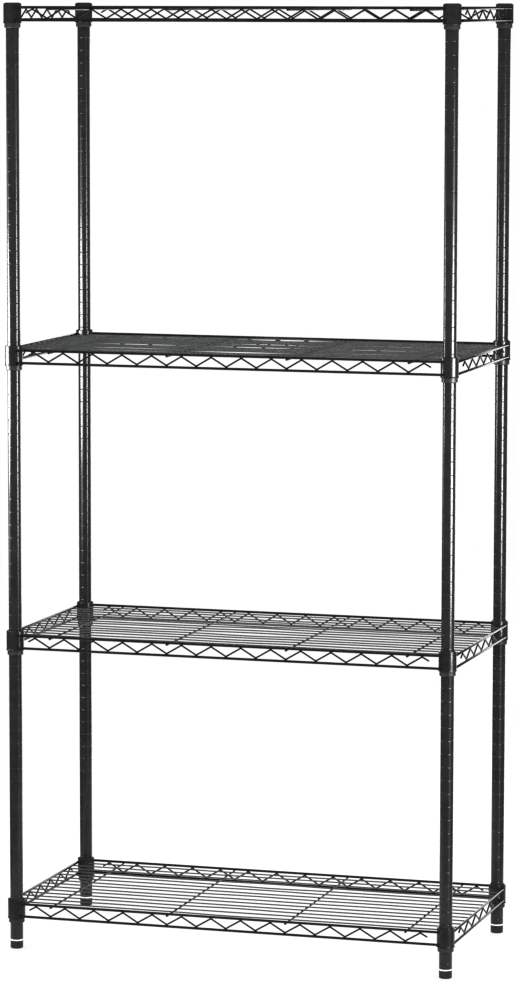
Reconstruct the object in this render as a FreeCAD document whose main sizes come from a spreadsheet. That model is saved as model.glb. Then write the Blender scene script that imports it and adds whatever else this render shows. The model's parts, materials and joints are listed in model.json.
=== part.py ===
import FreeCAD, Part
import math
import os

import Sketcher

# Free-standing wire shelving rack: four grooved two-piece posts, four welded wire
# shelves that drop onto split tapered sleeves, and a levelling foot under each post.
# Frame: +Z up, X along the shelves, Y from front to rear; the origin is on the floor,
# under the middle of the rack.  Millimetres.

os.makedirs("parts", exist_ok=True)
doc = FreeCAD.newDocument("wire_shelving_rack")

# ---------------------------------------------------------------- driving dimensions

DIMENSIONS = {
    # clearance of a piece that is pushed over or into a post
    "push_fit": 0.05,
    # posts: centre distances, tube, and the height where the two halves meet
    "post_spacing_long": 872.0,
    "post_spacing_deep": 416.0,
    "post_diameter": 25.0,
    "post_wall": 1.0,
    "post_bottom": 18.2,
    "post_seam": 918.0,
    "post_top": 1848.0,
    "post_edge": 0.5,
    # index grooves rolled into the posts
    "groove_pitch": 25.4,
    "groove_width": 1.8,
    "groove_depth": 0.45,
    "groove_count_lower": 35,
    "groove_count_upper": 36,
    # the groove that each shelf sits at, counted up from the seam
    "shelf_groove_one": -33,
    "shelf_groove_two": -12,
    "shelf_groove_three": 10,
    "shelf_groove_four": 36,
    "rail_over_groove": 11.2,
    # shelf wires
    "rail_diameter": 4.8,
    "snake_diameter": 3.1,
    "cross_diameter": 3.4,
    "deck_diameter": 2.7,
    "rail_offset": 14.7,
    "rail_setback": 9.0,
    "long_top_drop": 0.0,
    "long_rail_drop": 24.5,
    "side_top_drop": 0.6,
    "side_rail_drop": 23.9,
    "snake_pitch": 60.0,
    "snake_bend": 3.2,
    "snake_stub_run": 13.5,
    "snake_stub_fall": 7.0,
    "snake_bays_long": 13,
    "snake_bays_side": 5,
    "cross_spacing": 240.0,
    "cross_count": 4,
    "cross_length": 448.0,
    "deck_spacing": 30.0,
    "deck_count": 14,
    "deck_end_length": 854.0,
    # corner collars and split sleeves, heights measured from the top rail
    "collar_diameter": 34.2,
    "collar_bead": 35.6,
    "collar_bead_rise": 2.0,
    "collar_above": 7.4,
    "collar_below": 30.6,
    "collar_edge": 0.4,
    "sleeve_top_diameter": 28.8,
    "sleeve_bottom_diameter": 31.0,
    "sleeve_above": 8.6,
    "sleeve_below": 39.6,
    "sleeve_chamfer": 1.4,
    "sleeve_half_angle": 178.0,
    "sleeve_rib_width": 1.4,
    "sleeve_rib_depth": 0.35,
    "collar_clearance": 0.3,
    # post caps
    "cap_flange": 4.4,
    "cap_edge": 0.9,
    "cap_plug_length": 14.0,
    "cap_plug_wall": 1.6,
    # threaded connector between the post halves
    "connector_length": 70.0,
    "connector_neck": 14.0,
    "connector_neck_length": 6.0,
    "connector_bore": 6.0,
    # levelling feet
    "insert_flange": 2.6,
    "insert_plug": 16.0,
    "stud_diameter": 9.5,
    "stud_clearance": 0.1,
    "stud_length": 48.0,
    "stud_head_diameter": 14.0,
    "stud_head_height": 2.4,
    "foot_diameter": 24.8,
    "foot_height": 15.5,
    "foot_floor": 4.0,
    "foot_edge_low": 2.0,
    "foot_edge_high": 0.7,
    "foot_head_play": 0.3,
}

sheet = doc.addObject("Spreadsheet::Sheet", "Dimensions")
for row, (alias, size) in enumerate(DIMENSIONS.items(), start=1):
    sheet.set("A%d" % row, alias)
    sheet.set("B%d" % row, str(size))
    sheet.setAlias("B%d" % row, alias)
doc.recompute()

POST_RADIUS = "(Dimensions.post_diameter / 2)"
POST_BORE = "(Dimensions.post_diameter / 2 - Dimensions.post_wall)"
PLUG_RADIUS = "(%s - Dimensions.push_fit)" % POST_BORE
COLLAR_RADIUS = "(Dimensions.collar_diameter / 2)"
COLLAR_LENGTH = "(Dimensions.collar_above + Dimensions.collar_below)"
SLEEVE_LENGTH = "(Dimensions.sleeve_above + Dimensions.sleeve_below)"
SLEEVE_LOW_RADIUS = "(Dimensions.sleeve_bottom_diameter / 2)"
SLEEVE_TAPER = "((%s - Dimensions.sleeve_top_diameter / 2) / %s)" % (SLEEVE_LOW_RADIUS, SLEEVE_LENGTH)
STUD_HOLE = "(Dimensions.stud_diameter / 2 + Dimensions.stud_clearance)"
HEAD_HOLE = "(Dimensions.stud_head_diameter / 2 + Dimensions.stud_clearance)"
HALF_LONG = "Dimensions.post_spacing_long / 2"
HALF_DEEP = "Dimensions.post_spacing_deep / 2"

# how far each layer of wires lies below the long top rails: the cross wires hang under the
# long rails, the deck wires lie on the cross wires and end against the side rails
SNAKE_INSET = "(Dimensions.rail_diameter / 2 + Dimensions.snake_diameter / 2)"
CROSS_DROP = "(Dimensions.rail_diameter / 2 + Dimensions.cross_diameter / 2)"
DECK_DROP = "(%s - Dimensions.cross_diameter / 2 - Dimensions.deck_diameter / 2)" % CROSS_DROP
DECK_LENGTH = "(Dimensions.post_spacing_long + 2 * Dimensions.rail_offset - Dimensions.rail_diameter)"


def value(expression):
    """The present value of a sheet expression, used to draw a sketch near its solution."""
    return float(sheet.evalExpression(expression))


# ------------------------------------------------------------------ sketches and bodies

ORIGIN, X_AXIS, Y_AXIS = (-1, 1), -1, -2
START, END, CENTRE = 1, 2, 3


def new_body(name):
    body = doc.addObject("PartDesign::Body", name)
    body.Label = name
    return body


def origin_feature(body, role):
    return [feature for feature in body.Origin.OriginFeatures if feature.Role == role][0]


def new_sketch(body, role, name):
    sketch = body.newObject("Sketcher::SketchObject", name)
    sketch.AttachmentSupport = [(origin_feature(body, role), "")]
    sketch.MapMode = "FlatFace"
    return sketch


def bind(sketch, kind, first, second, expression):
    """A driving distance from the point first to the point second, bound to the sheet."""
    name = "size_%d" % sketch.ConstraintCount
    index = sketch.addConstraint(Sketcher.Constraint(kind, *first, *second, value(expression)))
    sketch.renameConstraint(index, name)
    sketch.setExpression("Constraints." + name, expression)


def bind_radius(sketch, curve, expression):
    name = "size_%d" % sketch.ConstraintCount
    index = sketch.addConstraint(Sketcher.Constraint("Radius", curve, value(expression)))
    sketch.renameConstraint(index, name)
    sketch.setExpression("Constraints." + name, expression)


def draw_outline(sketch, corners):
    """A closed outline through corners, each a pair of expressions measured from the origin."""
    places = [FreeCAD.Vector(value(across), value(up), 0) for across, up in corners]
    last = len(corners) - 1
    for side in range(len(corners)):
        following = places[side + 1] if side < last else places[0]
        sketch.addGeometry(Part.LineSegment(places[side], following), False)
    for side, (across, up) in enumerate(corners):
        before = side - 1 if side else last
        sketch.addConstraint(Sketcher.Constraint("Coincident", before, END, side, START))
        if across == "0":
            sketch.addConstraint(Sketcher.Constraint("PointOnObject", side, START, Y_AXIS))
        else:
            bind(sketch, "DistanceX", ORIGIN, (side, START), across)
        if up == "0":
            sketch.addConstraint(Sketcher.Constraint("PointOnObject", side, START, X_AXIS))
        else:
            bind(sketch, "DistanceY", ORIGIN, (side, START), up)


def turned_body(name, corners, angle=None):
    """A body made by turning an outline of (radius, height) pairs about Z."""
    body = new_body(name)
    sketch = new_sketch(body, "XZ_Plane", name + "_outline")
    draw_outline(sketch, corners)
    turned = body.newObject("PartDesign::Revolution", name + "_turned")
    turned.Profile = sketch
    turned.ReferenceAxis = (sketch, ["V_Axis"])
    turned.Angle = 360
    if angle:
        turned.Midplane = True
        turned.setExpression("Angle", angle)
    doc.recompute()
    return body


def ring_edges(body, radius, height):
    """Names of the circular edges of this radius at this height."""
    names = []
    for number, edge in enumerate(body.Shape.Edges, start=1):
        if not isinstance(edge.Curve, Part.Circle):
            continue
        if abs(edge.Curve.Radius - value(radius)) < 1e-4 and abs(edge.Curve.Center.z - value(height)) < 1e-4:
            names.append("Edge%d" % number)
    return names


def ease_edges(body, kind, rings, size):
    """A fillet or a chamfer on the rings, each a (radius, height) pair of expressions."""
    names = []
    for radius, height in rings:
        names.extend(ring_edges(body, radius, height))
    base = body.Tip
    eased = body.newObject("PartDesign::" + kind, "%s_%s" % (body.Name, kind.lower()))
    eased.Base = (base, names)
    eased.setExpression("Radius" if kind == "Fillet" else "Size", size)
    body.Tip = eased
    doc.recompute()


def repeat_along(body, feature, role, pitch, count):
    pattern = body.newObject("PartDesign::LinearPattern", feature.Name + "_row")
    pattern.Originals = [feature]
    pattern.Direction = (origin_feature(body, role), [""])
    pattern.setExpression("Length", "%s * (%s - 1)" % (pitch, count))
    pattern.setExpression("Occurrences", count)
    body.Tip = pattern
    doc.recompute()


def bound_place(item, x, y, z, turn=0):
    """Turn an object about Z and bind its place to the sheet."""
    item.Placement = FreeCAD.Placement(FreeCAD.Vector(), FreeCAD.Rotation(FreeCAD.Vector(0, 0, 1), turn))
    item.setExpression("Placement.Base.x", x)
    item.setExpression("Placement.Base.y", y)
    item.setExpression("Placement.Base.z", z)


def group(name, links, x="0", y="0", z="0", turn=0):
    """A compound of separate solids, placed as one sub-part."""
    compound = doc.addObject("Part::Compound", name)
    compound.Label = name
    compound.Links = links
    bound_place(compound, x, y, z, turn)
    return compound


def wire(name, diameter, length, along, x, y, z):
    """A straight round wire, centred on the place given and running along X or Y."""
    rod = doc.addObject("Part::Cylinder", name)
    rod.Label = name
    rod.setExpression("Radius", diameter + " / 2")
    rod.setExpression("Height", length)
    if along == "X":
        rod.Placement.Rotation = FreeCAD.Rotation(FreeCAD.Vector(0, 1, 0), 90)
        x = "%s - %s / 2" % (x, length)
    else:
        rod.Placement.Rotation = FreeCAD.Rotation(FreeCAD.Vector(1, 0, 0), -90)
        y = "%s - %s / 2" % (y, length)
    rod.setExpression("Placement.Base.x", x)
    rod.setExpression("Placement.Base.y", y)
    rod.setExpression("Placement.Base.z", z)
    return rod


def cut(name, base, tool):
    result = doc.addObject("Part::Cut", name)
    result.Label = name
    result.Base = base
    result.Tool = tool
    return result


# --------------------------------------------------------------------------- post halves

def make_post_half(name, length, first_groove, count):
    """A tube with an index groove every inch, standing on its own end."""
    body = turned_body(name, [
        (POST_BORE, "0"),
        (POST_RADIUS, "0"),
        (POST_RADIUS, length),
        (POST_BORE, length),
    ])
    ease_edges(body, "Chamfer", [(POST_RADIUS, "0"), (POST_RADIUS, length)], "Dimensions.post_edge")
    sketch = new_sketch(body, "XZ_Plane", name + "_groove_outline")
    floor = "(%s - Dimensions.groove_depth)" % POST_RADIUS
    mouth = "(%s + Dimensions.groove_depth)" % POST_RADIUS
    draw_outline(sketch, [
        (floor, "(%s - Dimensions.groove_width / 4)" % first_groove),
        (mouth, "(%s - Dimensions.groove_width * 3 / 4)" % first_groove),
        (mouth, "(%s + Dimensions.groove_width * 3 / 4)" % first_groove),
        (floor, "(%s + Dimensions.groove_width / 4)" % first_groove),
    ])
    volume = body.Shape.Volume
    groove = body.newObject("PartDesign::Groove", name + "_groove")
    groove.Profile = sketch
    groove.ReferenceAxis = (sketch, ["V_Axis"])
    groove.Angle = 360
    body.Tip = groove
    doc.recompute()
    one_groove = volume - body.Shape.Volume
    repeat_along(body, groove, "Z_Axis", "Dimensions.groove_pitch", count)
    all_grooves = volume - body.Shape.Volume
    if one_groove <= 0 or abs(all_grooves / one_groove - value(count)) > 0.01:
        raise RuntimeError(name + ": the grooves are missing")
    return body


LOWER_LENGTH = "(Dimensions.post_seam - Dimensions.post_bottom)"
UPPER_LENGTH = "(Dimensions.post_top - Dimensions.post_seam)"
LOWEST_GROOVE = "(%s - Dimensions.groove_pitch * Dimensions.groove_count_lower)" % LOWER_LENGTH

post_lower = make_post_half("lower_post_half", LOWER_LENGTH, LOWEST_GROOVE, "Dimensions.groove_count_lower")
post_upper = make_post_half("upper_post_half", UPPER_LENGTH, "Dimensions.groove_pitch",
                            "Dimensions.groove_count_upper")


# ------------------------------------------------------- connector, cap, insert and foot

def make_connector():
    """The plug inside each post that holds its two halves in line."""
    low = "((Dimensions.connector_length - Dimensions.connector_neck_length) / 2)"
    high = "((Dimensions.connector_length + Dimensions.connector_neck_length) / 2)"
    return turned_body("connector", [
        ("Dimensions.connector_bore / 2", "0"),
        (PLUG_RADIUS, "0"),
        (PLUG_RADIUS, low),
        ("Dimensions.connector_neck / 2", low),
        ("Dimensions.connector_neck / 2", high),
        (PLUG_RADIUS, high),
        (PLUG_RADIUS, "Dimensions.connector_length"),
        ("Dimensions.connector_bore / 2", "Dimensions.connector_length"),
    ])


def make_cap():
    """A moulded cap: a flat disc with a rounded rim over a hollow plug."""
    top = "(Dimensions.cap_plug_length + Dimensions.cap_flange)"
    plug_inside = "(%s - Dimensions.cap_plug_wall)" % PLUG_RADIUS
    body = turned_body("cap", [
        (plug_inside, "0"),
        (PLUG_RADIUS, "0"),
        (PLUG_RADIUS, "Dimensions.cap_plug_length"),
        (POST_RADIUS, "Dimensions.cap_plug_length"),
        (POST_RADIUS, top),
        ("0", top),
        ("0", "Dimensions.cap_plug_length"),
        (plug_inside, "Dimensions.cap_plug_length"),
    ])
    ease_edges(body, "Fillet", [(POST_RADIUS, top)], "Dimensions.cap_edge")
    return body


def make_insert():
    """The flanged metal bush in the post's foot that the levelling stud runs in."""
    top = "(Dimensions.insert_flange + Dimensions.insert_plug)"
    return turned_body("foot_insert", [
        (STUD_HOLE, "0"),
        (POST_RADIUS, "0"),
        (POST_RADIUS, "Dimensions.insert_flange"),
        (PLUG_RADIUS, "Dimensions.insert_flange"),
        (PLUG_RADIUS, top),
        (STUD_HOLE, top),
    ])


def make_stud():
    """The levelling stud, with the flat head that stays inside the foot."""
    shank = "(Dimensions.stud_diameter / 2)"
    head = "(Dimensions.stud_head_diameter / 2)"
    body = turned_body("stud", [
        ("0", "0"),
        (head, "0"),
        (head, "Dimensions.stud_head_height"),
        (shank, "Dimensions.stud_head_height"),
        (shank, "Dimensions.stud_length"),
        ("0", "Dimensions.stud_length"),
    ])
    ease_edges(body, "Chamfer", [(shank, "Dimensions.stud_length")], "Dimensions.foot_edge_high")
    return body


def make_foot():
    """The foot that stands on the floor, moulded round the head of its stud."""
    radius = "(Dimensions.foot_diameter / 2)"
    head_top = "(Dimensions.foot_floor + Dimensions.stud_head_height + Dimensions.foot_head_play)"
    body = turned_body("foot", [
        ("0", "0"),
        (radius, "0"),
        (radius, "Dimensions.foot_height"),
        (STUD_HOLE, "Dimensions.foot_height"),
        (STUD_HOLE, head_top),
        (HEAD_HOLE, head_top),
        (HEAD_HOLE, "Dimensions.foot_floor"),
        ("0", "Dimensions.foot_floor"),
    ])
    ease_edges(body, "Fillet", [(radius, "0")], "Dimensions.foot_edge_low")
    ease_edges(body, "Chamfer", [(radius, "Dimensions.foot_height")], "Dimensions.foot_edge_high")
    return body


connector = make_connector()
cap = make_cap()
foot_insert = make_insert()
stud = make_stud()
foot = make_foot()


# --------------------------------------------------------------- collar and split sleeve

def make_collar():
    """The tapered-bore corner collar, with a bead round its lower rim."""
    bead = "(Dimensions.collar_bead / 2)"
    bead_top = "(Dimensions.collar_bead_rise + (Dimensions.collar_bead - Dimensions.collar_diameter) / 2)"
    bore = "(%s - %s * (Dimensions.sleeve_below %s) + Dimensions.collar_clearance)"
    body = turned_body("collar", [
        (bore % (SLEEVE_LOW_RADIUS, SLEEVE_TAPER, "- Dimensions.collar_below"), "0"),
        (bead, "0"),
        (bead, "Dimensions.collar_bead_rise"),
        (COLLAR_RADIUS, bead_top),
        (COLLAR_RADIUS, COLLAR_LENGTH),
        (bore % (SLEEVE_LOW_RADIUS, SLEEVE_TAPER, "+ Dimensions.collar_above"), COLLAR_LENGTH),
    ])
    ease_edges(body, "Fillet", [(COLLAR_RADIUS, COLLAR_LENGTH), (bead, "0")], "Dimensions.collar_edge")
    return body


def make_sleeve_half():
    """Half of the tapered sleeve: an inner rib sits in one groove of the post."""
    bore = "(%s + Dimensions.push_fit)" % POST_RADIUS
    rib = "(%s - Dimensions.sleeve_rib_depth)" % POST_RADIUS
    rib_height = "(Dimensions.sleeve_below - Dimensions.rail_over_groove %s)"
    return turned_body("sleeve_half", [
        (bore, "0"),
        ("(%s - Dimensions.sleeve_chamfer)" % SLEEVE_LOW_RADIUS, "0"),
        (SLEEVE_LOW_RADIUS, "Dimensions.sleeve_chamfer"),
        ("(Dimensions.sleeve_top_diameter / 2)", SLEEVE_LENGTH),
        (bore, SLEEVE_LENGTH),
        (bore, rib_height % "+ Dimensions.sleeve_rib_width / 2"),
        (rib, rib_height % "+ Dimensions.sleeve_rib_width / 4"),
        (rib, rib_height % "- Dimensions.sleeve_rib_width / 4"),
        (bore, rib_height % "- Dimensions.sleeve_rib_width / 2"),
    ], angle="Dimensions.sleeve_half_angle")


collar = make_collar()
sleeve_half = make_sleeve_half()


# ------------------------------------------------------------------------- shelf trusses

def snake_path(body, name, span, start):
    """Centre line of one bay of the snake wire: down from a crest to a trough and up again."""
    pitch = value("Dimensions.snake_pitch")
    bend = value("Dimensions.snake_bend")
    depth = value(span)
    left = -value(start)
    reach = math.hypot(pitch / 2, depth - 2 * bend)
    slope = math.atan2(depth - 2 * bend, pitch / 2) + math.asin(2 * bend / reach)
    normal = FreeCAD.Vector(math.sin(slope), math.cos(slope), 0) * bend
    mirrored = FreeCAD.Vector(-normal.x, normal.y, 0)
    crest = FreeCAD.Vector(left, -bend, 0)
    trough = FreeCAD.Vector(left + pitch / 2, bend - depth, 0)
    next_crest = FreeCAD.Vector(left + pitch, -bend, 0)
    quarter = math.pi / 2
    up = FreeCAD.Vector(0, 0, 1)
    sketch = new_sketch(body, "XZ_Plane", name)
    sketch.addGeometry([
        Part.ArcOfCircle(Part.Circle(crest, up, bend), quarter - slope, quarter),
        Part.LineSegment(crest + normal, trough - normal),
        Part.ArcOfCircle(Part.Circle(trough, up, bend), 3 * quarter - slope, 3 * quarter + slope),
        Part.LineSegment(trough - mirrored, next_crest + mirrored),
        Part.ArcOfCircle(Part.Circle(next_crest, up, bend), quarter, quarter + slope),
    ], False)
    sketch.addConstraint([
        Sketcher.Constraint("Tangent", 0, START, 1, START),
        Sketcher.Constraint("Tangent", 1, END, 2, START),
        Sketcher.Constraint("Tangent", 2, END, 3, START),
        Sketcher.Constraint("Tangent", 3, END, 4, END),
        Sketcher.Constraint("Equal", 0, 2),
        Sketcher.Constraint("Equal", 0, 4),
        Sketcher.Constraint("PointOnObject", 0, END, X_AXIS),
        Sketcher.Constraint("PointOnObject", 4, START, X_AXIS),
        Sketcher.Constraint("Vertical", 0, END, 0, CENTRE),
        Sketcher.Constraint("Vertical", 4, START, 4, CENTRE),
    ])
    bind_radius(sketch, 0, "Dimensions.snake_bend")
    bind(sketch, "DistanceX", (0, END), ORIGIN, start)
    bind(sketch, "DistanceX", (0, END), (2, CENTRE), "Dimensions.snake_pitch / 2")
    bind(sketch, "DistanceX", (0, END), (4, START), "Dimensions.snake_pitch")
    bind(sketch, "DistanceY", (2, CENTRE), ORIGIN, "(%s - Dimensions.snake_bend)" % span)
    return sketch, slope


def stub_path(body, name, start, slope):
    """Centre line of the snake wire's free end, bent down from its first crest."""
    bend = value("Dimensions.snake_bend")
    left = -value(start)
    crest = FreeCAD.Vector(left, -bend, 0)
    leaving = crest + FreeCAD.Vector(-math.sin(slope), math.cos(slope), 0) * bend
    tip = FreeCAD.Vector(left - value("Dimensions.snake_stub_run"), -value("Dimensions.snake_stub_fall"), 0)
    quarter = math.pi / 2
    sketch = new_sketch(body, "XZ_Plane", name)
    sketch.addGeometry([
        Part.ArcOfCircle(Part.Circle(crest, FreeCAD.Vector(0, 0, 1), bend), quarter, quarter + slope),
        Part.LineSegment(leaving, tip),
    ], False)
    sketch.addConstraint([
        Sketcher.Constraint("Tangent", 0, END, 1, START),
        Sketcher.Constraint("PointOnObject", 0, START, X_AXIS),
        Sketcher.Constraint("Vertical", 0, START, 0, CENTRE),
    ])
    bind_radius(sketch, 0, "Dimensions.snake_bend")
    bind(sketch, "DistanceX", (0, START), ORIGIN, start)
    bind(sketch, "DistanceX", (1, END), (0, START), "Dimensions.snake_stub_run")
    bind(sketch, "DistanceY", (1, END), ORIGIN, "Dimensions.snake_stub_fall")
    return sketch


def sweep_wire(body, name, path, edges, start):
    """Sweep the round section of the snake wire, drawn at its first crest, along a path."""
    section = new_sketch(body, "YZ_Plane", name + "_section")
    section.setExpression("AttachmentOffset.Base.z", "-" + start)
    radius = value("Dimensions.snake_diameter / 2")
    section.addGeometry(Part.Circle(FreeCAD.Vector(), FreeCAD.Vector(0, 0, 1), radius), False)
    section.addConstraint(Sketcher.Constraint("Coincident", 0, CENTRE, *ORIGIN))
    bind_radius(section, 0, "Dimensions.snake_diameter / 2")
    doc.recompute()
    swept = body.newObject("PartDesign::AdditivePipe", name)
    swept.Profile = section
    swept.Spine = (path, ["Edge%d" % number for number in range(1, edges + 1)])
    body.Tip = swept
    doc.recompute()
    return swept


def make_snake(name, bays, span):
    """The bent wire of a truss, centred on X, with its crests' centre line at height zero."""
    body = new_body(name)
    start = "(%s * Dimensions.snake_pitch / 2)" % bays
    path, slope = snake_path(body, name + "_bay_path", span, start)
    bay = sweep_wire(body, name + "_bay", path, 5, start)
    repeat_along(body, bay, "X_Axis", "Dimensions.snake_pitch", bays)
    stub = sweep_wire(body, name + "_stub", stub_path(body, name + "_stub_path", start, slope), 2, start)
    mirror = body.newObject("PartDesign::Mirrored", name + "_far_stub")
    mirror.Originals = [stub]
    mirror.MirrorPlane = (origin_feature(body, "YZ_Plane"), [""])
    body.Tip = mirror
    doc.recompute()
    return body


def make_truss(name, spacing, top_drop, bottom_drop, bays):
    """Two rails and a snake wire between two collars, facing the front of the rack."""
    collar_tools = group(name + "_collar_space", [
        collar_space(name + "_left_space", "-%s / 2" % spacing),
        collar_space(name + "_right_space", "%s / 2" % spacing),
    ])
    length = "(%s - 2 * Dimensions.rail_setback)" % spacing
    rails = []
    for place, drop in (("top", top_drop), ("bottom", bottom_drop)):
        rod_name = "%s_%s_rail" % (name, place)
        rod = wire(rod_name + "_rod", "Dimensions.rail_diameter", length, "X",
                   "0", "-Dimensions.rail_offset", "-" + drop)
        rails.append(cut(rod_name, rod, collar_tools))
    span = "(%s - %s - 2 * %s)" % (bottom_drop, top_drop, SNAKE_INSET)
    snake = make_snake(name + "_snake", bays, span)
    bound_place(snake, "0", "-Dimensions.rail_offset", "-%s - %s" % (top_drop, SNAKE_INSET))
    return rails + [snake]


def collar_space(name, x, y="0"):
    """A plain cylinder as wide as a collar, which trims the ends of the wires."""
    space = doc.addObject("Part::Cylinder", name)
    space.Label = name
    space.setExpression("Radius", COLLAR_RADIUS)
    space.setExpression("Height", "2 * " + COLLAR_LENGTH)
    bound_place(space, x, y, "-%s - %s / 2" % (COLLAR_LENGTH, COLLAR_LENGTH))
    return space


long_truss = make_truss("long_truss", "Dimensions.post_spacing_long", "Dimensions.long_top_drop",
                        "Dimensions.long_rail_drop", "Dimensions.snake_bays_long")
side_truss = make_truss("side_truss", "Dimensions.post_spacing_deep", "Dimensions.side_top_drop",
                        "Dimensions.side_rail_drop", "Dimensions.snake_bays_side")


# ------------------------------------------------------------------ deck and cross wires

CORNERS = (
    ("front_left", "-1", "-1"),
    ("front_right", "1", "-1"),
    ("rear_left", "-1", "1"),
    ("rear_right", "1", "1"),
)


def corner_place(across, deep):
    return "%s * %s" % (across, HALF_LONG), "%s * %s" % (deep, HALF_DEEP)


def make_deck_wires():
    """The long wires that carry the load; the first and the last stop at the collars."""
    spaces = []
    for corner, across, deep in CORNERS:
        spaces.append(collar_space("deck_space_" + corner, *corner_place(across, deep)))
    collar_tools = group("deck_collar_spaces", spaces)
    count = int(value("Dimensions.deck_count"))
    wires = []
    for number in range(count):
        outermost = number in (0, count - 1)
        length = "Dimensions.deck_end_length" if outermost else DECK_LENGTH
        depth = "(%d - (Dimensions.deck_count - 1) / 2) * Dimensions.deck_spacing" % number
        rod = wire("deck_wire_%02d" % (number + 1), "Dimensions.deck_diameter", length, "X",
                   "0", depth, "-" + DECK_DROP)
        wires.append(cut("deck_wire_%02d_trimmed" % (number + 1), rod, collar_tools) if outermost else rod)
    return wires


def make_cross_wires():
    """The front-to-rear wires that hang under the long rails and hold the deck up."""
    wires = []
    for number in range(int(value("Dimensions.cross_count"))):
        across = "(%d - (Dimensions.cross_count - 1) / 2) * Dimensions.cross_spacing" % number
        wires.append(wire("cross_wire_%d" % (number + 1), "Dimensions.cross_diameter",
                          "Dimensions.cross_length", "Y", across, "0", "-" + CROSS_DROP))
    return wires


deck_wires = make_deck_wires()
cross_wires = make_cross_wires()


# ------------------------------------------------------------------ the placed sub-parts

nodes = []


def place_corner_piece(label, master, z):
    """One sub-part at each corner, from the same master piece."""
    for corner, across, deep in CORNERS:
        x, y = corner_place(across, deep)
        nodes.append(group("%s_%s" % (label, corner), [master], x, y, z))


def at_corners(label, master, z, turns=(0,)):
    """The same piece at every corner, as the separate solids of one sub-part."""
    copies = []
    for corner, across, deep in CORNERS:
        x, y = corner_place(across, deep)
        for turn in turns:
            copies.append(group("%s_%s_%d" % (label, corner, turn), [master], x, y, z, turn))
    return copies


place_corner_piece("post_lower", post_lower, "Dimensions.post_bottom")
place_corner_piece("post_upper", post_upper, "Dimensions.post_seam")
place_corner_piece("post_cap", cap, "Dimensions.post_top - Dimensions.cap_plug_length")
place_corner_piece("foot_insert", foot_insert, "Dimensions.post_bottom - Dimensions.insert_flange")
place_corner_piece("foot_pad", foot, "0")
place_corner_piece("foot_stud", stud, "Dimensions.foot_floor")
connector_base = "Dimensions.post_seam - Dimensions.connector_length / 2"
nodes.append(group("post_connectors", at_corners("connector", connector, connector_base)))

collars = at_corners("collar", collar, "-Dimensions.collar_below")
sleeve_halves = at_corners("sleeve", sleeve_half, "-Dimensions.sleeve_below", turns=(90, 270))

for shelf in ("one", "two", "three", "four"):
    level = ("Dimensions.post_seam + Dimensions.groove_pitch * Dimensions.shelf_groove_%s"
             " + Dimensions.rail_over_groove" % shelf)
    prefix = "shelf_%s_" % shelf
    nodes.append(group(prefix + "front_truss", long_truss, "0", "-" + HALF_DEEP, level, 0))
    nodes.append(group(prefix + "rear_truss", long_truss, "0", HALF_DEEP, level, 180))
    nodes.append(group(prefix + "left_truss", side_truss, "-" + HALF_LONG, "0", level, -90))
    nodes.append(group(prefix + "right_truss", side_truss, HALF_LONG, "0", level, 90))
    nodes.append(group(prefix + "deck_wires", deck_wires, z=level))
    nodes.append(group(prefix + "cross_wires", cross_wires, z=level))
    nodes.append(group(prefix + "collars", collars, z=level))
    nodes.append(group(prefix + "split_sleeves", sleeve_halves, z=level))

doc.recompute()

# ------------------------------------------------------------------ checks, then export

for item in doc.Objects:
    if "Invalid" in item.State or "Error" in item.State:
        raise RuntimeError("%s is not up to date: %s" % (item.Label, item.State))
for node in nodes:
    if node.Shape.isNull() or not node.Shape.isValid():
        raise RuntimeError(node.Label + " has no valid shape")
    if any(solid.Volume <= 0 for solid in node.Shape.Solids):
        raise RuntimeError(node.Label + " holds an empty solid")
for node in nodes:
    node.Shape.exportStep("parts/%s.step" % node.Label)
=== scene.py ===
import json
import math
import random

import bpy
from mathutils import Matrix, Vector

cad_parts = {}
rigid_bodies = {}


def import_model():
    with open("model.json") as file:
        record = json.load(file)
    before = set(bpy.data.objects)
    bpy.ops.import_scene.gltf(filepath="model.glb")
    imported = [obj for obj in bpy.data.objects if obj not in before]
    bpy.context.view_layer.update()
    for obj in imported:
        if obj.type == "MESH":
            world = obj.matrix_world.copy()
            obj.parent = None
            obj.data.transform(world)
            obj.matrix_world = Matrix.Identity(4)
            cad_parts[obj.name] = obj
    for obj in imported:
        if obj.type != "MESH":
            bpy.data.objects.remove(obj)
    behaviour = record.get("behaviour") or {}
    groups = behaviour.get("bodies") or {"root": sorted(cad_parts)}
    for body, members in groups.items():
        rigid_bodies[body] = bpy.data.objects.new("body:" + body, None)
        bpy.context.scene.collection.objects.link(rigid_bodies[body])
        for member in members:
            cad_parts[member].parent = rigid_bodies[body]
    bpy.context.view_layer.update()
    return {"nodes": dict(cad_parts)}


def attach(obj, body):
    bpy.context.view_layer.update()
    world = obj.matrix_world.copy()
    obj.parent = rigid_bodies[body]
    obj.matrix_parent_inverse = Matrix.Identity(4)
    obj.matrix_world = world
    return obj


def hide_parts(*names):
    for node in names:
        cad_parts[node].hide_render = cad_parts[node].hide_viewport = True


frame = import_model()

rng = random.Random(7)

# The part's own frame, in metres: Z up, X along the shelves, Y from front to rear, floor at z = 0.
MM = 0.001

# ------------------------------------------------------------------ sizes, as in the part

HALF_LONG = 436 * MM
HALF_DEEP = 208 * MM
CORNERS = {
    "front_left": (-HALF_LONG, -HALF_DEEP),
    "front_right": (HALF_LONG, -HALF_DEEP),
    "rear_left": (-HALF_LONG, HALF_DEEP),
    "rear_right": (HALF_LONG, HALF_DEEP),
}
POST_RADIUS = 12.5 * MM
POST_BORE = 11.5 * MM
POST_BOTTOM = 18.2 * MM
POST_SEAM = 918 * MM
POST_TOP = 1848 * MM
POST_LIP = 0.5 * MM
POST_SIDES = 64

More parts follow.
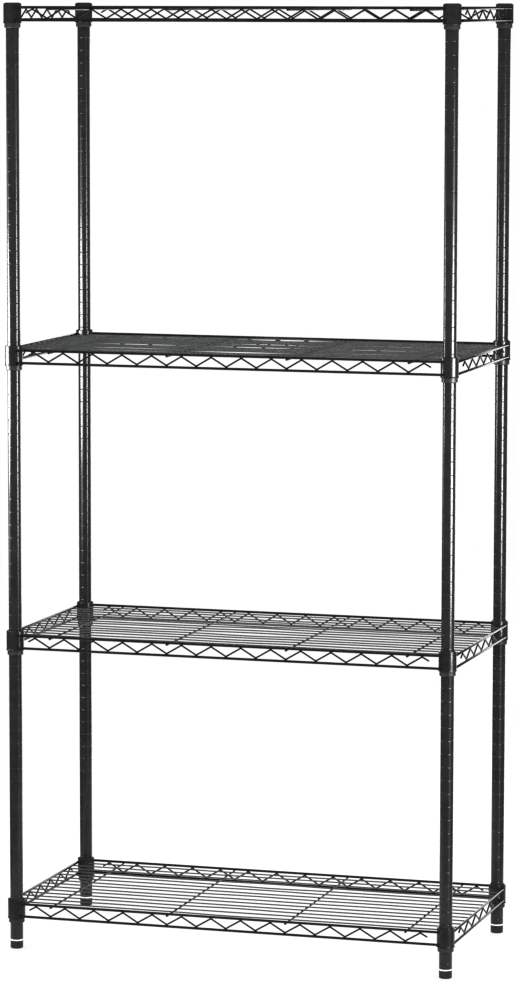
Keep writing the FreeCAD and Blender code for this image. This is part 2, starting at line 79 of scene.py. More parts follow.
# Grooves are numbered from the seam, which is 0 and has none.
GROOVE_PITCH = 25.4 * MM
GROOVE_HALF_WIDTH = 0.9 * MM
GROOVE_DEPTH = 0.45 * MM
GROOVE_SHOULDER = 0.35 * MM
GROOVE_STATIONS = (-1.0, -0.78, -0.56, -0.28, 0.0, 0.28, 0.56, 0.78, 1.0)
LOWER_GROOVES = range(-35, 0)
UPPER_GROOVES = range(1, 37)
SHELF_GROOVES = {"one": -33, "two": -12, "three": 10, "four": 36}
RAIL_OVER_GROOVE = 11.2 * MM

# A shelf's level is the centre line of its long top rails.  The snake is the zigzag wire.
RAIL_RADIUS = 2.4 * MM
SNAKE_RADIUS = 1.55 * MM
CROSS_RADIUS = 1.7 * MM
DECK_RADIUS = 1.35 * MM
RAIL_SIDES = 18
WIRE_SIDES = 14
RAIL_OFFSET = 14.7 * MM
RAIL_SETBACK = 9.4 * MM
LONG_RAIL_DROP = 24.5 * MM
SIDE_TOP_DROP = 0.6 * MM
SIDE_RAIL_DROP = 23.9 * MM
SNAKE_PITCH = 60 * MM
SNAKE_BEND = 3.2 * MM
SNAKE_BEND_STEPS = 6
STUB_RUN = 13.5 * MM
STUB_FALL = 7.0 * MM
LONG_BAYS = 13
SIDE_BAYS = 5
CROSS_DROP = RAIL_RADIUS + CROSS_RADIUS
CROSS_LENGTH = 448 * MM
CROSS_SPACING = 240 * MM
CROSS_COUNT = 4
DECK_DROP = CROSS_DROP - CROSS_RADIUS - DECK_RADIUS
DECK_SPACING = 30 * MM
DECK_COUNT = 14
DECK_LENGTH = 898 * MM
DECK_END_LENGTH = 854 * MM
BOW_BY_BAY = (0.3 * MM, 0.9 * MM, 1.4 * MM, 0.5 * MM, 0.3 * MM)
BOW_STEPS = 6

# Limits of the random draws, in millimetres: how far a deck wire's end stops short, how far a
# weld strays from its bend, and three kinds of weld by each half size's two limits.
DECK_SHORTFALL = 0.8
BEND_WELD_STRAY = 0.5
BEND_WELD = ((2.9, 3.7), (1.5, 1.75), (1.0, 1.4))
CROSSING_WELD = ((1.7, 2.1), (1.5, 1.9), (0.7, 0.95))
DECK_END_WELD = ((1.0, 1.3), (1.7, 2.2), (1.5, 1.7))

# Welds whose half sizes are fixed, and how lumpy every weld is round its rim.
COLLAR_WELD = (2.4 * MM, 1.7 * MM, 2.9 * MM)
COLLAR_WELD_PAST_RAIL = 0.2 * MM
COLLAR_WELD_INSET = 0.9 * MM
COLLAR_WELD_SIDES = 12
COLLAR_WELD_LAYERS = 8
CROSS_END_WELD = (2.5 * MM, 1.5 * MM, 1.0 * MM)
WELD_LUMPS = (0.86, 1.12)

COLLAR_RADIUS = 17.1 * MM
COLLAR_ABOVE = 7.4 * MM
COLLAR_BELOW = 30.6 * MM
COLLAR_SIDES = 72
COLLAR_BEAD = 17.75 * MM
COLLAR_BEAD_ROLL = 1.1 * MM
COLLAR_NECK_ROLL = 0.9 * MM
COLLAR_NECK_HEIGHT = 3.1 * MM
COLLAR_LIP = 0.6 * MM
COLLAR_BORE_EDGE = 0.3 * MM
COLLAR_FOOT_EDGE = 0.25 * MM
SLEEVE_BOTTOM_RADIUS = 15.5 * MM
SLEEVE_TOP_RADIUS = 14.4 * MM
SLEEVE_ABOVE = 8.6 * MM
SLEEVE_BELOW = 39.6 * MM
COLLAR_CLEARANCE = 0.3 * MM

# ------------------------------------------------------------------ camera

# The sensor is in millimetres, along the picture's longer side.
IMAGE_HEIGHT = 982
FOCAL_PIXELS = 4206.0
SENSOR = 36.0
CLIP_END = 60
CAMERA_PLACE = Vector((2.3794, -7.8614, 1.8561))
CAMERA_AZIMUTH = math.radians(16.877)
CAMERA_PITCH = math.radians(6.644)
CAMERA_ROLL = math.radians(0.103)


def add_camera():
    """The photograph's camera."""
    data = bpy.data.cameras.new("camera")
    data.sensor_width = SENSOR
    data.lens = FOCAL_PIXELS / IMAGE_HEIGHT * SENSOR
    data.clip_end = CLIP_END
    camera = bpy.data.objects.new("camera", data)
    bpy.context.scene.collection.objects.link(camera)
    level = math.cos(CAMERA_PITCH)
    forward = Vector((-math.sin(CAMERA_AZIMUTH) * level,
                      math.cos(CAMERA_AZIMUTH) * level,
                      -math.sin(CAMERA_PITCH)))
    flat_right = Vector((math.cos(CAMERA_AZIMUTH), math.sin(CAMERA_AZIMUTH), 0))
    flat_up = flat_right.cross(forward)
    right = flat_right * math.cos(CAMERA_ROLL) + flat_up * math.sin(CAMERA_ROLL)
    up = flat_up * math.cos(CAMERA_ROLL) - flat_right * math.sin(CAMERA_ROLL)
    axes = Matrix((right, up, -forward)).transposed().to_4x4()
    camera.matrix_world = Matrix.Translation(CAMERA_PLACE) @ axes
    bpy.context.scene.camera = camera


add_camera()

# ------------------------------------------------------------------ materials

WHITE = (1.0, 1.0, 1.0, 1.0)
BLACK = (0.0, 0.0, 0.0, 1.0)
DUST = (0.36, 0.35, 0.33, 1.0)
ZINC_BRIGHT = (0.86, 0.87, 0.88, 1.0)
ZINC_DULL = (0.74, 0.74, 0.72, 1.0)
SCRATCH_LEVEL = 0.16

COAT_IOR = 1.5
COAT_WEIGHT = 0.25
COAT_ROUGHNESS = 0.12
PLASTIC_IOR = 1.49
ZINC_METALLIC = 0.25

# How much lighter and duller rubbed places and specks are than the coat's light tone, and how
# much a surface's roughness wanders.
RUBBED_LIGHTER = 2.6
RUBBED_DULLER = 0.25
SPECK_LIGHTER = 1.9
SPECK_SHARE = 0.5
COAT_WANDER = (0.82, 1.22)
PLASTIC_WANDER = (0.88, 1.15)

# Depths of surface relief, in metres.  The fine skin's grain is finer than the coat's by a ratio.
FINE_PEEL_RATIO = 3.4
PEEL_DEPTH = 8e-6
FINE_PEEL_DEPTH = 2e-6
SPARK_DEPTH = 6e-5
MARK_DEPTH = 8e-5
RING_DEPTH = 5e-5

# Noise scales along X, Y and Z: streaks run up the posts, and fine rings run round the studs.
RUB_STRETCH = (260.0, 260.0, 34.0)
FLOW_STRETCH = (90.0, 90.0, 25.0)
MARK_STRETCH = (420.0, 420.0, 60.0)
RING_STRETCH = (30.0, 30.0, 4200.0)


class Nodes:
    """A material's node tree, built from top to bottom in few words."""

    def __init__(self, name):
        self.material = bpy.data.materials.new(name)
        self.material.use_nodes = True
        self.tree = self.material.node_tree
        self.shader = self.tree.nodes["Principled BSDF"]
        self.place = self.add("ShaderNodeTexCoord").outputs["Object"]

    def add(self, kind, **inputs):
        node = self.tree.nodes.new(kind)
        for key, content in inputs.items():
            self.feed(node.inputs[key.replace("_", " ")], content)
        return node

    def feed(self, socket, content):
        if isinstance(content, bpy.types.NodeSocket):
            self.tree.links.new(content, socket)
        else:
            socket.default_value = content

    def noise(self, scale, detail=3.0, roughness=0.55, place=None):
        return self.add("ShaderNodeTexNoise", Vector=place or self.place, Scale=scale,
                        Detail=detail, Roughness=roughness).outputs["Fac"]

    def stretched(self, factors):
        """The object's coordinates, scaled differently along each axis."""
        node = self.add("ShaderNodeMapping", Vector=self.place)
        node.inputs["Scale"].default_value = factors
        return node.outputs["Vector"]

    def between(self, content, low, high, new_low=0.0, new_high=1.0):
        """Content from low to high, mapped onto new_low to new_high and held within them."""
        node = self.add("ShaderNodeMapRange", Value=content)
        node.inputs["From Min"].default_value = low
        node.inputs["From Max"].default_value = high
        node.inputs["To Min"].default_value = new_low
        node.inputs["To Max"].default_value = new_high
        return node.outputs["Result"]

    def mix(self, amount, dark, light):
        node = self.tree.nodes.new("ShaderNodeMix")
        node.data_type = "RGBA"
        self.feed(node.inputs["Factor"], amount)
        self.feed(node.inputs["A"], dark)
        self.feed(node.inputs["B"], light)
        return node.outputs["Result"]

    def math(self, operation, a, b):
        node = self.tree.nodes.new("ShaderNodeMath")
        node.operation = operation
        self.feed(node.inputs[0], a)
        self.feed(node.inputs[1], b)
        return node.outputs["Value"]

    def upward(self):
        """1 where the surface looks up, 0 on its sides and below."""
        normal = self.add("ShaderNodeNewGeometry").outputs["Normal"]
        up = self.add("ShaderNodeSeparateXYZ", Vector=normal).outputs["Z"]
        return self.between(up, 0.35, 0.95)

    def bump(self, height, distance, strength, under=None):
        node = self.add("ShaderNodeBump", Height=height, Distance=distance, Strength=strength)
        if under is not None:
            self.feed(node.inputs["Normal"], under)
        return node.outputs["Normal"]


def grey(level, tint=0.0):
    """A grey that is a little bluer than neutral by its tint."""
    return (level, level * (1 + tint / 2), level * (1 + tint), 1.0)


def coating(name, dark, light, roughness, grain, dust=0.0):
    """Black powder coat: an orange-peel skin, uneven gloss, faint scuffs and settled dust."""
    nodes = Nodes(name)
    patches = nodes.noise(scale=45.0, detail=4.0)
    cloud = nodes.between(patches, 0.35, 0.68)
    colour = nodes.mix(cloud, grey(dark, 0.06), grey(light, 0.03))
    speck = nodes.between(nodes.noise(scale=1900.0, detail=2.0), 0.66, 0.72)
    streaks = nodes.noise(scale=1.0, detail=5.0, roughness=0.7, place=nodes.stretched(RUB_STRETCH))
    rub = nodes.between(streaks, 0.66, 0.74)
    rubbed_places = nodes.between(nodes.noise(scale=14.0, detail=2.0), 0.5, 0.62, 0.0, 0.55)
    wear = nodes.math("MULTIPLY", rub, rubbed_places)
    colour = nodes.mix(wear, colour, grey(light * RUBBED_LIGHTER))
    specks = nodes.math("MULTIPLY", speck, SPECK_SHARE)
    colour = nodes.mix(specks, colour, grey(light * SPECK_LIGHTER))
    if dust:
        facing = nodes.upward()
        settled = nodes.between(nodes.noise(scale=70.0, detail=5.0), 0.3, 0.75, dust * 0.3, dust)
        colour = nodes.mix(nodes.math("MULTIPLY", facing, settled), colour, DUST)
    nodes.feed(nodes.shader.inputs["Base Color"], colour)
    uneven = nodes.noise(scale=160.0, detail=4.0)
    gloss = nodes.between(uneven, 0.3, 0.7, roughness * COAT_WANDER[0], roughness * COAT_WANDER[1])
    gloss = nodes.math("ADD", gloss, nodes.math("MULTIPLY", wear, RUBBED_DULLER))
    nodes.feed(nodes.shader.inputs["Roughness"], gloss)
    nodes.shader.inputs["IOR"].default_value = COAT_IOR
    nodes.shader.inputs["Coat Weight"].default_value = COAT_WEIGHT
    nodes.shader.inputs["Coat Roughness"].default_value = COAT_ROUGHNESS
    coarse_skin = nodes.noise(scale=grain, detail=2.0, roughness=0.45)
    peel = nodes.bump(coarse_skin, PEEL_DEPTH, strength=0.4)
    fine_skin = nodes.noise(scale=grain * FINE_PEEL_RATIO, detail=2.0, roughness=0.5)
    fine = nodes.bump(fine_skin, FINE_PEEL_DEPTH, strength=0.4, under=peel)
    nodes.feed(nodes.shader.inputs["Normal"], fine)
    return nodes.material


def moulded(name, dark, light, roughness, grain, scuff):
    """Black moulded plastic: fine spark texture, flow marks and pale scuffs."""
    nodes = Nodes(name)
    swirls = nodes.noise(scale=1.0, detail=3.0, roughness=0.5, place=nodes.stretched(FLOW_STRETCH))
    flow = nodes.between(swirls, 0.35, 0.65)
    colour = nodes.mix(flow, grey(dark), grey(light, 0.02))
    marks = nodes.noise(scale=1.0, detail=5.0, roughness=0.7, place=nodes.stretched(MARK_STRETCH))
    scratches = nodes.between(marks, 0.64, 0.72, 0.0, scuff)
    colour = nodes.mix(scratches, colour, grey(SCRATCH_LEVEL))
    nodes.feed(nodes.shader.inputs["Base Color"], colour)
    uneven = nodes.noise(scale=210.0, detail=3.0)
    gloss = nodes.between(uneven, 0.3, 0.7,
                          roughness * PLASTIC_WANDER[0], roughness * PLASTIC_WANDER[1])
    nodes.feed(nodes.shader.inputs["Roughness"], gloss)
    nodes.shader.inputs["IOR"].default_value = PLASTIC_IOR
    texture = nodes.noise(scale=grain, detail=3.0, roughness=0.6)
    spark = nodes.bump(texture, SPARK_DEPTH, strength=0.5)
    relief = nodes.bump(marks, MARK_DEPTH, strength=0.25, under=spark)
    nodes.feed(nodes.shader.inputs["Normal"], relief)
    return nodes.material


def zinc_plate(name):
    """Bright zinc plate with turning rings and dull, slightly yellow patches."""
    nodes = Nodes(name)
    patches = nodes.between(nodes.noise(scale=220.0, detail=4.0), 0.35, 0.7)
    colour = nodes.mix(patches, ZINC_BRIGHT, ZINC_DULL)
    nodes.feed(nodes.shader.inputs["Base Color"], colour)
    nodes.shader.inputs["Metallic"].default_value = ZINC_METALLIC
    nodes.feed(nodes.shader.inputs["Roughness"], nodes.between(patches, 0.0, 1.0, 0.3, 0.48))
    rings = nodes.noise(scale=1.0, detail=2.0, roughness=0.5, place=nodes.stretched(RING_STRETCH))
    nodes.feed(nodes.shader.inputs["Normal"], nodes.bump(rings, RING_DEPTH, strength=0.45))
    return nodes.material


MATERIALS = {
    "post_coat": coating("post_powder_coat", dark=0.033, light=0.042, roughness=0.20,
                         grain=1150.0),
    "wire_coat": coating("wire_powder_coat", dark=0.016, light=0.026, roughness=0.20, grain=1300.0,
                         dust=0.05),
    # Painted sheen: the deck wires have the same black coat as the other wires, but this copy is
    # several times lighter. It paints in the grey sheen the deck catches from the studio light,
    # and it also carries settled dust.
    "deck_coat_painted_sheen": coating("deck_wire_coat_painted_sheen", dark=0.070, light=0.088, roughness=0.24,
                         grain=1300.0, dust=0.10),
    "collar_coat": coating("collar_powder_coat", dark=0.028, light=0.038, roughness=0.24,
                           grain=1150.0, dust=0.02),
    "sleeve_plastic": moulded("sleeve_plastic", dark=0.045, light=0.060, roughness=0.38,
                              grain=1500.0, scuff=0.15),
    "cap_plastic": moulded("cap_plastic", dark=0.028, light=0.038, roughness=0.46,
                           grain=1400.0, scuff=0.2),
    "foot_plastic": moulded("foot_plastic", dark=0.034, light=0.046, roughness=0.44,
                            grain=1300.0, scuff=0.4),
    "connector_plastic": moulded("connector_plastic", dark=0.036, light=0.048, roughness=0.5,
                                 grain=1300.0, scuff=0.2),
    "zinc": zinc_plate("zinc_plate"),
}

# ------------------------------------------------------------------ mesh building

# Edges at a steeper angle than this, in degrees, stay sharp.
SMOOTH_TURNED = 40
SMOOTH_WIRE = 50

# A wire's cut end: its rounding as a share of the radius, then its rings, each by its own share
# of the radius and its place along the rounding.
CUT_ROUNDING = 0.28
CUT_RINGS = ((0.80, 0.0), (0.95, 0.35))


def turned(k, sides):
    """Cosine and sine of the k-th of a ring's equal steps."""
    return math.cos(2 * math.pi * k / sides), math.sin(2 * math.pi * k / sides)


class Shape:
    """Vertices and faces that are gathered into one mesh."""

    def __init__(self):
        self.points = []
        self.faces = []

    def ring_of(self, points):
        """Adds points and returns their numbers."""
        start = len(self.points)
        self.points.extend(points)
        return list(range(start, start + len(points)))

    def bridge(self, first, second):
        """A band of faces between two rings."""
        count = len(first)
        for i in range(count):
            j = (i + 1) % count
            self.faces.append((first[i], first[j], second[j], second[i]))

    def lathe(self, centre, profile, sides):
        """A ring-shaped solid: an outline of (radius, height) turned about an upright axis."""
        rings = []
        for radius, height in profile:
            points = []
            for k in range(sides):
                cosine, sine = turned(k, sides)
                points.append(Vector((centre[0] + radius * cosine,
                                      centre[1] + radius * sine, height)))
            rings.append(self.ring_of(points))
        for first, second in zip(rings, rings[1:] + rings[:1]):
            self.bridge(first, second)

    def tube(self, path, radius, sides, side_axis):
        """A round wire along a flat path, with its two cut ends slightly rounded.

        side_axis is across the path's plane.
        """
        last = len(path) - 1
        directions = []
        for i in range(len(path)):
            ahead = (path[i + 1] - path[i]).normalized() if i < last else Vector()
            behind = (path[i] - path[i - 1]).normalized() if i else Vector()
            directions.append((ahead + behind).normalized())
        ease = radius * CUT_ROUNDING
        trail = []
        for share, back in CUT_RINGS:
            trail.append((path[0] + directions[0] * ease * back, directions[0], radius * share))
        trail.append((path[0] + directions[0] * ease, directions[0], radius))
        for i in range(1, last):
            trail.append((path[i], directions[i], radius))
        trail.append((path[last] - directions[last] * ease, directions[last], radius))
        for share, back in reversed(CUT_RINGS):
            trail.append((path[last] - directions[last] * ease * back, directions[last],
                          radius * share))
        rings = []
        for point, along, size in trail:
            across = along.cross(side_axis).normalized()
            points = []
            for k in range(sides):
                cosine, sine = turned(k, sides)
                points.append(point + across * (size * cosine) + side_axis * (size * sine))
            rings.append(self.ring_of(points))
        for first, second in zip(rings, rings[1:]):
            self.bridge(first, second)
        self.faces.append(tuple(reversed(rings[0])))
        self.faces.append(tuple(rings[-1]))

    def nugget(self, centre, sizes, axes, sides=10, layers=6):
        """A weld bead: a flattened, uneven drop of metal.  axes are its three directions."""
        lumps = [rng.uniform(*WELD_LUMPS) for _ in range(sides)]
        poles = []
        for end in (-1, 1):
            poles.append(len(self.points))
            self.points.append(centre + axes[2] * (sizes[2] * end))
        rings = []
        for layer in range(1, layers):
            rise = -math.cos(math.pi * layer / layers)
            reach = math.sin(math.pi * layer / layers)
            points = []
            for k in range(sides):
                cosine, sine = turned(k, sides)
                points.append(centre
                              + axes[0] * (sizes[0] * reach * lumps[k] * cosine)
                              + axes[1] * (sizes[1] * reach * lumps[k] * sine)
                              + axes[2] * (sizes[2] * rise))
            rings.append(self.ring_of(points))
        for first, second in zip(rings, rings[1:]):
            self.bridge(first, second)
        for i in range(sides):
            j = (i + 1) % sides
            self.faces.append((poles[0], rings[0][j], rings[0][i]))
            self.faces.append((poles[1], rings[-1][i], rings[-1][j]))

    def make(self, name, slot, body, nodes, crease=None, look=None):
        """The piece, which rides on a body and stands for the CAD nodes.

        crease is an angle in degrees, as for SMOOTH_WIRE, and look names a material other than
        the slot's own.
        """
        mesh = bpy.data.meshes.new(name)
        mesh.from_pydata(self.points, [], self.faces)
        mesh.validate()
        mesh.materials.append(MATERIALS[look or slot])
        mesh.polygons.foreach_set("use_smooth", [True] * len(mesh.polygons))
        if crease is not None:
            mesh.set_sharp_from_angle(angle=math.radians(crease))
        made = bpy.data.objects.new(name, mesh)
        bpy.context.scene.collection.objects.link(made)
        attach(made, body)
        if nodes:
            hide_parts(*nodes)


def rounded(corner_radius, centre, start, end, steps=3):
    """Points on a small arc of a lathe outline, from one angle to another, in degrees."""
    points = []
    for k in range(steps + 1):
        angle = math.radians(start + (end - start) * k / steps)
        points.append((centre[0] + corner_radius * math.cos(angle),
                       centre[1] + corner_radius * math.sin(angle)))
    return points


# ------------------------------------------------------------------ posts


def groove(height):
    """A rolled index groove's outline: soft shoulders and a round floor."""
    reach = GROOVE_HALF_WIDTH + GROOVE_SHOULDER
    points = [(POST_RADIUS, height - reach)]
    for station in GROOVE_STATIONS:
        dip = GROOVE_DEPTH * (0.5 + 0.5 * math.cos(math.pi * station))
        points.append((POST_RADIUS - dip, height + station * GROOVE_HALF_WIDTH))
    points.append((POST_RADIUS, height + reach))
    return points


def post_half(corner, half, bottom, top, grooves):
    """One tube of a post, with a groove at each number."""
    shoulder = POST_LIP + GROOVE_SHOULDER
    outline = rounded(POST_LIP, (POST_RADIUS - POST_LIP, bottom + POST_LIP), -90, 0)
    outline.append((POST_RADIUS, bottom + shoulder))
    for number in grooves:
        outline += groove(POST_SEAM + GROOVE_PITCH * number)
    outline.append((POST_RADIUS, top - shoulder))
    outline += rounded(POST_LIP, (POST_RADIUS - POST_LIP, top - POST_LIP), 0, 90)
    outline += [(POST_BORE, top), (POST_BORE, bottom)]
    shape = Shape()
    shape.lathe(CORNERS[corner], outline, POST_SIDES)
    node = "post_%s_%s" % (half, corner)
    shape.make(node + "_tube", "post_coat", "frame", [node], crease=SMOOTH_TURNED)


for corner in CORNERS:
    post_half(corner, "lower", POST_BOTTOM, POST_SEAM, LOWER_GROOVES)
    post_half(corner, "upper", POST_SEAM, POST_TOP, UPPER_GROOVES)

# ------------------------------------------------------------------ shelves

UP = Vector((0, 0, 1))
ALONG = Vector((1, 0, 0))
DEEP = Vector((0, 1, 0))


def drawn(limits):
    """A weld's three half sizes, each drawn between its two limits, which are in millimetres."""
    return tuple(rng.uniform(low, high) * MM for low, high in limits)


def snake_path(bays, top, depth):
    """Centre line of the zigzag wire as (distance along, height), with both free ends."""
    reach = math.hypot(SNAKE_PITCH / 2, depth - 2 * SNAKE_BEND)
    slope = math.atan2(depth - 2 * SNAKE_BEND, SNAKE_PITCH / 2) + math.asin(2 * SNAKE_BEND / reach)
    start = -bays * SNAKE_PITCH / 2
    path = [(start - STUB_RUN, top - STUB_FALL)]
    for number in range(2 * bays + 1):
        crest = number % 2 == 0
        x = start + number * SNAKE_PITCH / 2
        z = top - SNAKE_BEND if crest else top - depth + SNAKE_BEND
        sign = 1 if crest else -1
        for k in range(SNAKE_BEND_STEPS + 1):
            lean = slope * (-1 + 2 * k / SNAKE_BEND_STEPS)
            path.append((x + SNAKE_BEND * math.sin(lean), z + sign * SNAKE_BEND * math.cos(lean)))
    path.append((-start + STUB_RUN, top - STUB_FALL))
    return path, start


def truss(shelf, side, level, middle, along, outward, spacing, bays, top_drop, bottom_drop):
    """Two rails and the zigzag wire between them, with a weld at every bend and at the collars."""
    centre = middle + outward * RAIL_OFFSET
    half = spacing - RAIL_SETBACK
    shape = Shape()
    for drop in (top_drop, bottom_drop):
        height = UP * (level - drop)
        path = [centre - along * half + height, centre + along * half + height]
        shape.tube(path, RAIL_RADIUS, RAIL_SIDES, outward)
    inset = RAIL_RADIUS + SNAKE_RADIUS
    top = level - top_drop - inset
    flat, start = snake_path(bays, top, bottom_drop - top_drop - 2 * inset)
    shape.tube([centre + along * u + UP * v for u, v in flat], SNAKE_RADIUS, WIRE_SIDES, outward)
    axes = (along, outward, UP)
    for number in range(2 * bays + 1):
        crest = number % 2 == 0
        lift = top + SNAKE_RADIUS if crest else level - bottom_drop + RAIL_RADIUS
        stray = rng.uniform(-BEND_WELD_STRAY, BEND_WELD_STRAY) * MM
        spot = centre + along * (start + number * SNAKE_PITCH / 2 + stray) + UP * lift
        shape.nugget(spot, drawn(BEND_WELD), axes)
    for end in (-1, 1):
        for drop in (top_drop, bottom_drop):
            spot = (centre + along * (end * (half + COLLAR_WELD_PAST_RAIL))
                    - outward * COLLAR_WELD_INSET + UP * (level - drop))
            shape.nugget(spot, COLLAR_WELD, axes, COLLAR_WELD_SIDES, COLLAR_WELD_LAYERS)
    node = "shelf_%s_%s_truss" % (shelf, side)
    shape.make(node + "_wires", "wire_coat", "shelf_" + shelf, [node], crease=SMOOTH_WIRE)


def bowed(left, right, y, height, crossings):
    """Centre line of a deck wire, which bows a little up or down between its welds."""
    stops = [left] + crossings + [right]
    path = [Vector((left, y, height))]
    for start, end, bow in zip(stops, stops[1:], BOW_BY_BAY):
        rise = rng.uniform(-bow, bow)
        for k in range(1, BOW_STEPS + 1):
            share = k / BOW_STEPS
            lift = rise * math.sin(math.pi * share) ** 2
            path.append(Vector((start + (end - start) * share, y, height + lift)))
    return path


def deck(shelf, level):
    """The long load-bearing wires, the wires they cross, and the welds on those and the rails."""
    wires = Shape()
    welds = Shape()
    axes = (ALONG, DEEP, UP)
    contact = level - DECK_DROP - DECK_RADIUS
    side_rail = HALF_LONG + RAIL_OFFSET - RAIL_RADIUS
    crossings = [(i - (CROSS_COUNT - 1) / 2) * CROSS_SPACING for i in range(CROSS_COUNT)]
    for number in range(DECK_COUNT):
        y = (number - (DECK_COUNT - 1) / 2) * DECK_SPACING
        outermost = number in (0, DECK_COUNT - 1)
        half = (DECK_END_LENGTH if outermost else DECK_LENGTH) / 2
        left = -half + rng.uniform(0, DECK_SHORTFALL) * MM
        right = half - rng.uniform(0, DECK_SHORTFALL) * MM
        path = bowed(left, right, y, level - DECK_DROP, crossings)
        wires.tube(path, DECK_RADIUS, WIRE_SIDES, UP)
        for x in crossings:
            welds.nugget(Vector((x, y, contact)), drawn(CROSSING_WELD), axes)
        if not outermost:
            for end in (-1, 1):
                spot = Vector((end * side_rail, y, level - DECK_DROP))
                welds.nugget(spot, drawn(DECK_END_WELD), axes)
    node = "shelf_%s_deck_wires" % shelf
    # The deck rods use the lighter copy of the wire coat, which paints in the grey sheen they
    # catch.
    wires.make(node + "_rods", "wire_coat", "shelf_" + shelf, [node], crease=SMOOTH_WIRE,
               look="deck_coat_painted_sheen")
    crosses = Shape()
    height = level - CROSS_DROP
    reach = CROSS_LENGTH / 2
    for x in crossings:
        crosses.tube([Vector((x, -reach, height)), Vector((x, reach, height))],
                     CROSS_RADIUS, WIRE_SIDES, UP)
        for end in (-1, 1):
            spot = Vector((x, end * (HALF_DEEP + RAIL_OFFSET), level - RAIL_RADIUS))
            welds.nugget(spot, CROSS_END_WELD, axes)
    node = "shelf_%s_cross_wires" % shelf
    crosses.make(node + "_rods", "wire_coat", "shelf_" + shelf, [node], crease=SMOOTH_WIRE)
    welds.make("shelf_%s_deck_welds" % shelf, "wire_coat", "shelf_" + shelf, [])


def sleeve_radius(below_rail):
    """The split sleeves' outer radius at a height, which is given as a drop below the level."""
    share = (SLEEVE_BELOW - below_rail) / (SLEEVE_ABOVE + SLEEVE_BELOW)
    return SLEEVE_BOTTOM_RADIUS + (SLEEVE_TOP_RADIUS - SLEEVE_BOTTOM_RADIUS) * share


def collars(shelf, level):
    """Tapered-bore corner collars with a rolled bead round the lower rim."""
    bottom = level - COLLAR_BELOW
    top = level + COLLAR_ABOVE
    bore_low = sleeve_radius(COLLAR_BELOW) + COLLAR_CLEARANCE
    bore_high = sleeve_radius(-COLLAR_ABOVE) + COLLAR_CLEARANCE
    bead = (COLLAR_BEAD - COLLAR_BEAD_ROLL, bottom + COLLAR_BEAD_ROLL)
    neck = (COLLAR_RADIUS + COLLAR_NECK_ROLL, bottom + COLLAR_NECK_HEIGHT)
    lip = (COLLAR_RADIUS - COLLAR_LIP, top - COLLAR_LIP)
    outline = [(bore_low + COLLAR_FOOT_EDGE, bottom)]
    outline += rounded(COLLAR_BEAD_ROLL, bead, -90, 60, steps=8)
    outline += rounded(COLLAR_NECK_ROLL, neck, 240, 180, steps=4)
    outline += rounded(COLLAR_LIP, lip, 0, 90, steps=5)
    outline += [(bore_high + COLLAR_BORE_EDGE, top), (bore_high, top - COLLAR_BORE_EDGE),
                (bore_low, bottom + COLLAR_BORE_EDGE)]
    shape = Shape()
    for place in CORNERS.values():
        shape.lathe(place, outline, COLLAR_SIDES)
    node = "shelf_%s_collars" % shelf
    shape.make(node + "_rings", "collar_coat", "shelf_" + shelf, [node], crease=SMOOTH_TURNED)


for shelf, groove_number in SHELF_GROOVES.items():
    level = POST_SEAM + GROOVE_PITCH * groove_number + RAIL_OVER_GROOVE
    for side, sign in (("front", -1), ("rear", 1)):
        truss(shelf, side, level, DEEP * (sign * HALF_DEEP), ALONG, DEEP * sign, HALF_LONG,
              LONG_BAYS, 0.0, LONG_RAIL_DROP)
    for side, sign in (("left", -1), ("right", 1)):
        truss(shelf, side, level, ALONG * (sign * HALF_LONG), DEEP, ALONG * sign, HALF_DEEP,
              SIDE_BAYS, SIDE_TOP_DROP, SIDE_RAIL_DROP)
    deck(shelf, level)
    collars(shelf, level)

# ------------------------------------------------------------------ parts kept from the CAD

KEPT_SLOTS = {
    "post_cap": "cap_plastic",
    "foot_insert": "zinc",
    "foot_pad": "foot_plastic",
    "foot_stud": "zinc",
    "post_connectors": "connector_plastic",
    "split_sleeves": "sleeve_plastic",
}
for name, node in frame["nodes"].items():
    for part, slot in KEPT_SLOTS.items():
        if part in name:
            for material_slot in node.material_slots:
                material_slot.material = MATERIALS[slot]

# ------------------------------------------------------------------ floor, lights and world

FLOOR_GREY = (0.10, 0.10, 0.10, 1.0)
FLOOR_ROUGHNESS = 0.9
FLOOR_SPECULAR = 0.1
FLOOR_GLOW = 0.78
FLOOR_REACH = 1.0
BACKDROP_GLOW = 2.5
BACKDROP_PLACE = 2.6
BACKDROP_WIDTH = 2.3
BACKDROP_HEIGHT = 1.75

# How bright the world is to each kind of ray.
WORLD_LEVELS = (("Is Camera Ray", 1.0), ("Is Diffuse Ray", 2.9), ("Is Glossy Ray", 0.085))

# Thin dark wires are narrower than a pixel, and their blend with the white behind them comes out
# too pale.  A gamma below 1 darkens those middle tones, and the lights are brighter to suit.
LOOK_GAMMA = 0.6


def add_sheet(name, corners, material):
    """A flat rectangle of paper."""
    mesh = bpy.data.meshes.new(name)
    mesh.from_pydata(corners, [], [(0, 1, 2, 3)])
    mesh.materials.append(material)
    sheet = bpy.data.objects.new(name, mesh)
    bpy.context.scene.collection.objects.link(sheet)
    return sheet


def add_floor():
    """A pale floor from in front of the rack back to the backdrop."""
    nodes = Nodes("floor_paper")
    nodes.shader.inputs["Base Color"].default_value = FLOOR_GREY
    nodes.shader.inputs["Roughness"].default_value = FLOOR_ROUGHNESS
    nodes.shader.inputs["Specular IOR Level"].default_value = FLOOR_SPECULAR
    nodes.shader.inputs["Emission Color"].default_value = WHITE
    nodes.shader.inputs["Emission Strength"].default_value = FLOOR_GLOW
    corners = [(-FLOOR_REACH, -FLOOR_REACH, 0), (FLOOR_REACH, -FLOOR_REACH, 0),
               (FLOOR_REACH, BACKDROP_PLACE, 0), (-FLOOR_REACH, BACKDROP_PLACE, 0)]
    floor = add_sheet("floor", corners, nodes.material)


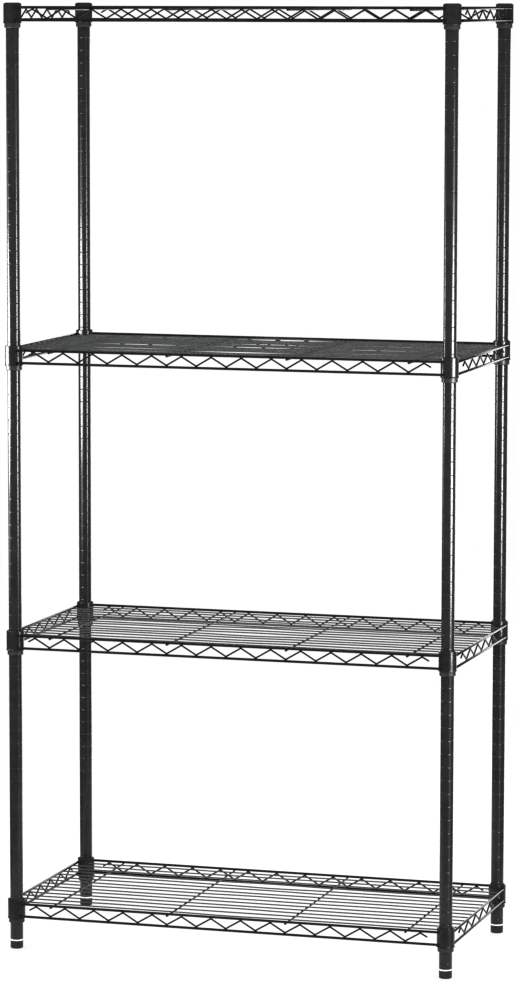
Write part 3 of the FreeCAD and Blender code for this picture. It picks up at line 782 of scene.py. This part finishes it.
def add_backdrop():
    """A white paper sheet some way behind the rack, lit evenly; only gloss sees it."""
    nodes = Nodes("backdrop_paper")
    nodes.shader.inputs["Base Color"].default_value = BLACK
    nodes.shader.inputs["Specular IOR Level"].default_value = 0.0
    nodes.shader.inputs["Emission Color"].default_value = WHITE
    nodes.shader.inputs["Emission Strength"].default_value = BACKDROP_GLOW
    half = BACKDROP_WIDTH / 2
    corners = [(-half, BACKDROP_PLACE, 0), (half, BACKDROP_PLACE, 0),
               (half, BACKDROP_PLACE, BACKDROP_HEIGHT), (-half, BACKDROP_PLACE, BACKDROP_HEIGHT)]
    backdrop = add_sheet("backdrop", corners, nodes.material)
    backdrop.visible_camera = False
    backdrop.visible_diffuse = False
    backdrop.visible_shadow = False


def add_world():
    """White to the eye and to matt surfaces, dimmer where it is mirrored in gloss."""
    world = bpy.data.worlds.new("studio")
    world.use_nodes = True
    bpy.context.scene.world = world
    tree = world.node_tree
    background = tree.nodes["Background"]
    background.inputs["Color"].default_value = WHITE
    rays = tree.nodes.new("ShaderNodeLightPath")
    strength = None
    for ray, level in WORLD_LEVELS:
        share = tree.nodes.new("ShaderNodeMath")
        share.operation = "MULTIPLY_ADD"
        share.inputs[1].default_value = level
        share.inputs[2].default_value = 0.0
        tree.links.new(rays.outputs[ray], share.inputs[0])
        if strength is not None:
            tree.links.new(strength, share.inputs[2])
        strength = share.outputs["Value"]
    tree.links.new(strength, background.inputs["Strength"])


def panel_receivers():
    """All but the rack's thin wires, which from the side would mirror a panel all along them."""
    receivers = bpy.data.collections.new("panel_receivers")
    for thing in bpy.context.scene.objects:
        if thing.type == "MESH" and "_wires" not in thing.name and "_welds" not in thing.name:
            receivers.objects.link(thing)
    return receivers


def softbox(name, receivers, place, target, width, height, power):
    """A soft oval panel that only gloss sees: it makes a long highlight on the posts."""
    data = bpy.data.lights.new(name, "AREA")
    data.shape = "ELLIPSE"
    data.size = width
    data.size_y = height
    data.energy = power
    light = bpy.data.objects.new(name, data)
    bpy.context.scene.collection.objects.link(light)
    light.location = place
    light.rotation_euler = (Vector(target) - Vector(place)).to_track_quat("-Z", "Y").to_euler()
    light.visible_camera = False
    light.visible_diffuse = False
    light.light_linking.receiver_collection = receivers


add_floor()
add_world()
add_backdrop()
receivers = panel_receivers()
softbox("right_panel", receivers, place=(1.05, -0.46, 1.01), target=(0.1, -0.1, 1.01),
        width=0.46, height=0.84, power=16.5)
softbox("right_spill", receivers, place=(1.06, -0.46, 1.10), target=(0.1, -0.1, 1.10),
        width=0.50, height=1.16, power=7.5)
softbox("right_low", receivers, place=(1.07, -0.46, 0.36), target=(0.1, -0.1, 0.36),
        width=0.46, height=1.30, power=2.2)
softbox("left_panel", receivers, place=(-0.818, -0.19, 1.13), target=(-0.313, 0.672, 1.13),
        width=0.56, height=0.54, power=12.0)
softbox("left_spill", receivers, place=(-0.82, -0.19, 1.12), target=(-0.315, 0.672, 1.12),
        width=0.56, height=0.94, power=4.8)
scene_look = bpy.context.scene.view_settings
scene_look.view_transform = "Standard"
scene_look.gamma = LOOK_GAMMA
